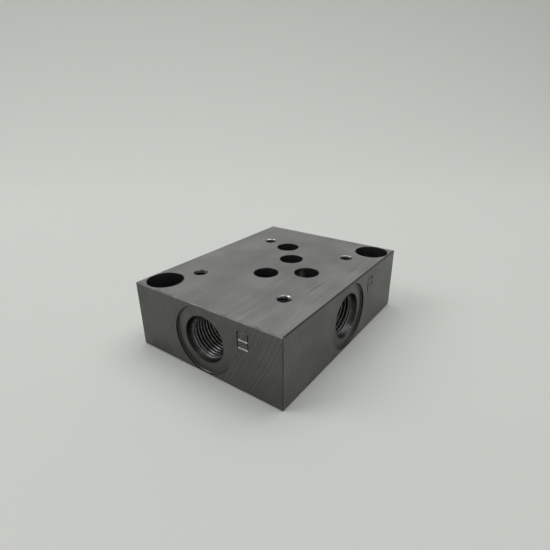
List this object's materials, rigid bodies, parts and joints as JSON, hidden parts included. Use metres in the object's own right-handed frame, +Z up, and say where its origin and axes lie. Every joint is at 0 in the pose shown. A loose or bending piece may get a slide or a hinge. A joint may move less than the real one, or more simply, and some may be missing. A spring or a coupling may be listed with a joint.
{
  "type": "hydraulic valve subplate",
  "caption": "Flat machined iron block that carries a directional valve on its top face and leads the valve's ports to threaded ports in its sides.",
  "frame": {"origin": "middle of the base face", "axes": "+X along the block's long side, +Y across it away from the pressure port, +Z up out of the valve face"},
  "size_m": [0.101, 0.0776, 0.031],
  "materials": {
    "machined_iron": "ground top face, milled sides, dark and lightly oiled"
  },
  "bodies": {
    "root": {"subplate_body": "machined_iron"}
  },
  "joints": []
}
